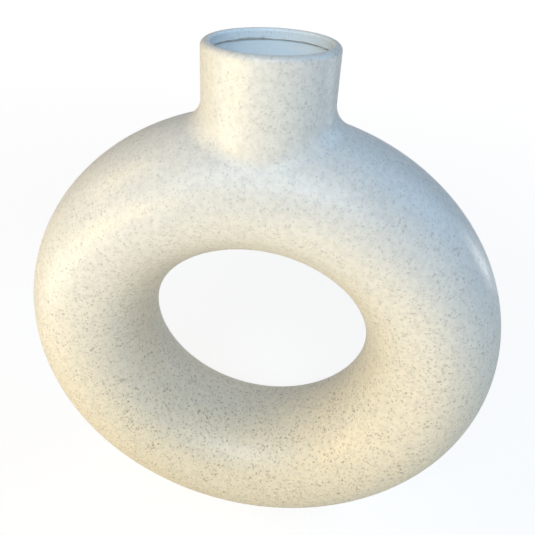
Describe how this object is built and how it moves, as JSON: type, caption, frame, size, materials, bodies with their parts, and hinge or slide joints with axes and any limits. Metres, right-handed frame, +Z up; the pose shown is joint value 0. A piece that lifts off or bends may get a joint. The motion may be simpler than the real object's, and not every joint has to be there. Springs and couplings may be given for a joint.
{
  "type": "donut vase",
  "caption": "Ring-shaped ceramic vase that stands on edge, hollow all round, with a short straight round neck on top and a speckled satin glaze.",
  "frame": {"origin": "centre of the flat underside that the vase stands on", "axes": "+Z up along the neck, Y along the ring's axis with the front of the vase facing -Y, X across the ring"},
  "size_m": [0.2, 0.0588, 0.2202],
  "materials": {
    "speckled_glaze": "satin cream glaze with fine grey-brown speckles"
  },
  "bodies": {
    "root": {"front_shell": "speckled_glaze", "back_shell": "speckled_glaze", "neck": "speckled_glaze", "foot": "speckled_glaze"}
  },
  "joints": []
}
